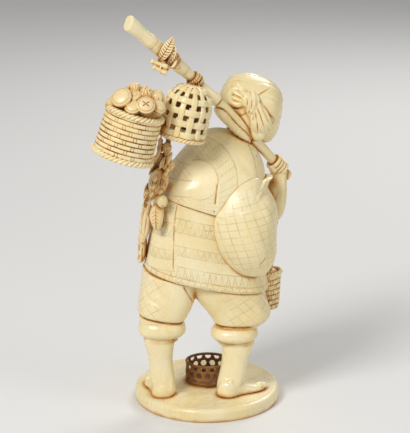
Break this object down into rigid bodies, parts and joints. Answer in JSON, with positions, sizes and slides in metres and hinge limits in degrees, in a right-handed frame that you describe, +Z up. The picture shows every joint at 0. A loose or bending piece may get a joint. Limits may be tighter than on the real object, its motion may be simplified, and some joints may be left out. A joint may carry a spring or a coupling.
{
  "type": "okimono carving",
  "caption": "Standing sectional okimono of a stooping figure with a kerchief, shouldering a bowed pole hung with baskets, on an oval base.",
  "frame": {"origin": "centre of the underside of the oval base, on the surface that the carving stands on", "axes": "+Z up, +Y the way the figure faces, +X towards the figure's right-hand side; the picture looks along +Y"},
  "size_m": [0.0884, 0.0779, 0.1795],
  "materials": {
    "ivory_polished": "polished cream ivory",
    "ivory_engraved": "polished cream ivory, finely engraved",
    "ivory_woven": "cream ivory with brown stain in the weave",
    "ivory_openwork": "cream ivory stained brown in the openwork",
    "ivory_rope": "cream ivory with brown stain in the lay",
    "ivory_load": "cream ivory with amber stain in the hollows",
    "ivory_pegs": "plain ivory"
  },
  "bodies": {
    "root": {"base": "ivory_polished", "base_basket": "ivory_openwork", "basket_load": "ivory_load", "basket_sling": "ivory_rope", "berry": "ivory_load", "big_basket": "ivory_woven", "cage_basket": "ivory_openwork", "cage_rim": "ivory_openwork", "calf_pegs": "ivory_pegs", "foot_pegs": "ivory_pegs", "garland_leaves": "ivory_load", "garland_stem": "ivory_rope", "gourd": "ivory_load", "hand_basket": "ivory_woven", "hand_basket_load": "ivory_load", "hanging_rolls": "ivory_load", "head": "ivory_polished", "hip_pegs": "ivory_pegs", "hip_pods": "ivory_load", "jacket_back": "ivory_engraved", "jacket_skirt": "ivory_engraved", "kerchief": "ivory_polished", "kerchief_knot": "ivory_polished", "left_forearm": "ivory_polished", "left_lower_leg": "ivory_polished", "left_sleeve": "ivory_engraved", "long_pod": "ivory_load", "lower_lashing": "ivory_rope", "pine_cone": "ivory_load", "pole_dowels": "ivory_pegs", "pole_lower": "ivory_polished", "pole_middle": "ivory_polished", "pole_upper": "ivory_polished", "right_forearm": "ivory_polished", "right_lower_leg": "ivory_polished", "right_sleeve": "ivory_engraved", "shoulder_pad": "ivory_polished", "straw_wisp": "ivory_rope", "trousers": "ivory_engraved", "upper_lashing": "ivory_rope", "waist_pegs": "ivory_pegs"}
  },
  "joints": []
}
